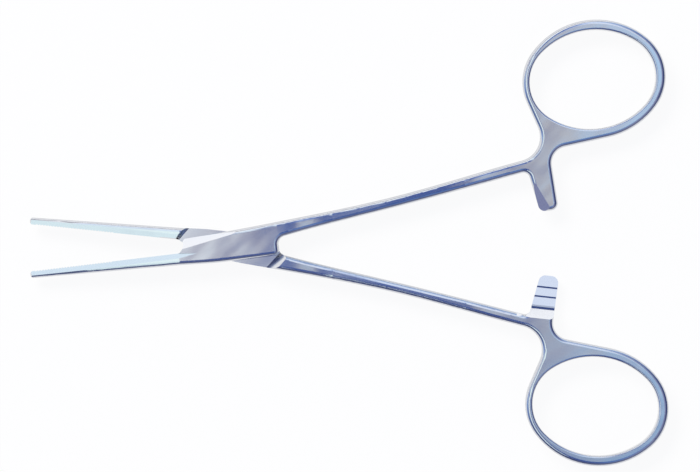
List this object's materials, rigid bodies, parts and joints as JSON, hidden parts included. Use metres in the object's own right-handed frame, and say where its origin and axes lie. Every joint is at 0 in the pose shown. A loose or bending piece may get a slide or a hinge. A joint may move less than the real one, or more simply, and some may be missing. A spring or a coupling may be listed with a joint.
{
  "type": "hemostat forceps",
  "caption": "Straight ring-handled forceps with a box lock, slim tapering jaws with fine cross serrations, long shanks, oval finger rings and a toothed ratchet.",
  "frame": {"origin": "on the hinge axis, on the plane of the box's underside", "axes": "+X from the hinge to the finger rings, midway between them at rest; +Z along the hinge axis, up from the flat side that it lies on; +Y towards the ring of the box half"},
  "size_m": [0.1362, 0.0954, 0.0047],
  "materials": {
    "polished_stainless": "mirror polished after forging and grinding",
    "pin_stainless": "riveted and ground flush"
  },
  "bodies": {
    "box_half": {"box_half": "polished_stainless", "joint_pin": "pin_stainless"},
    "through_half": {"through_half": "polished_stainless"}
  },
  "joints": [
    {"name": "box_lock", "type": "hinge", "parent": "box_half", "child": "through_half", "pos_m": [0, 0, 0], "axis": [0, 0, 1], "range_deg": [-28.6, 13.4]}
  ]
}
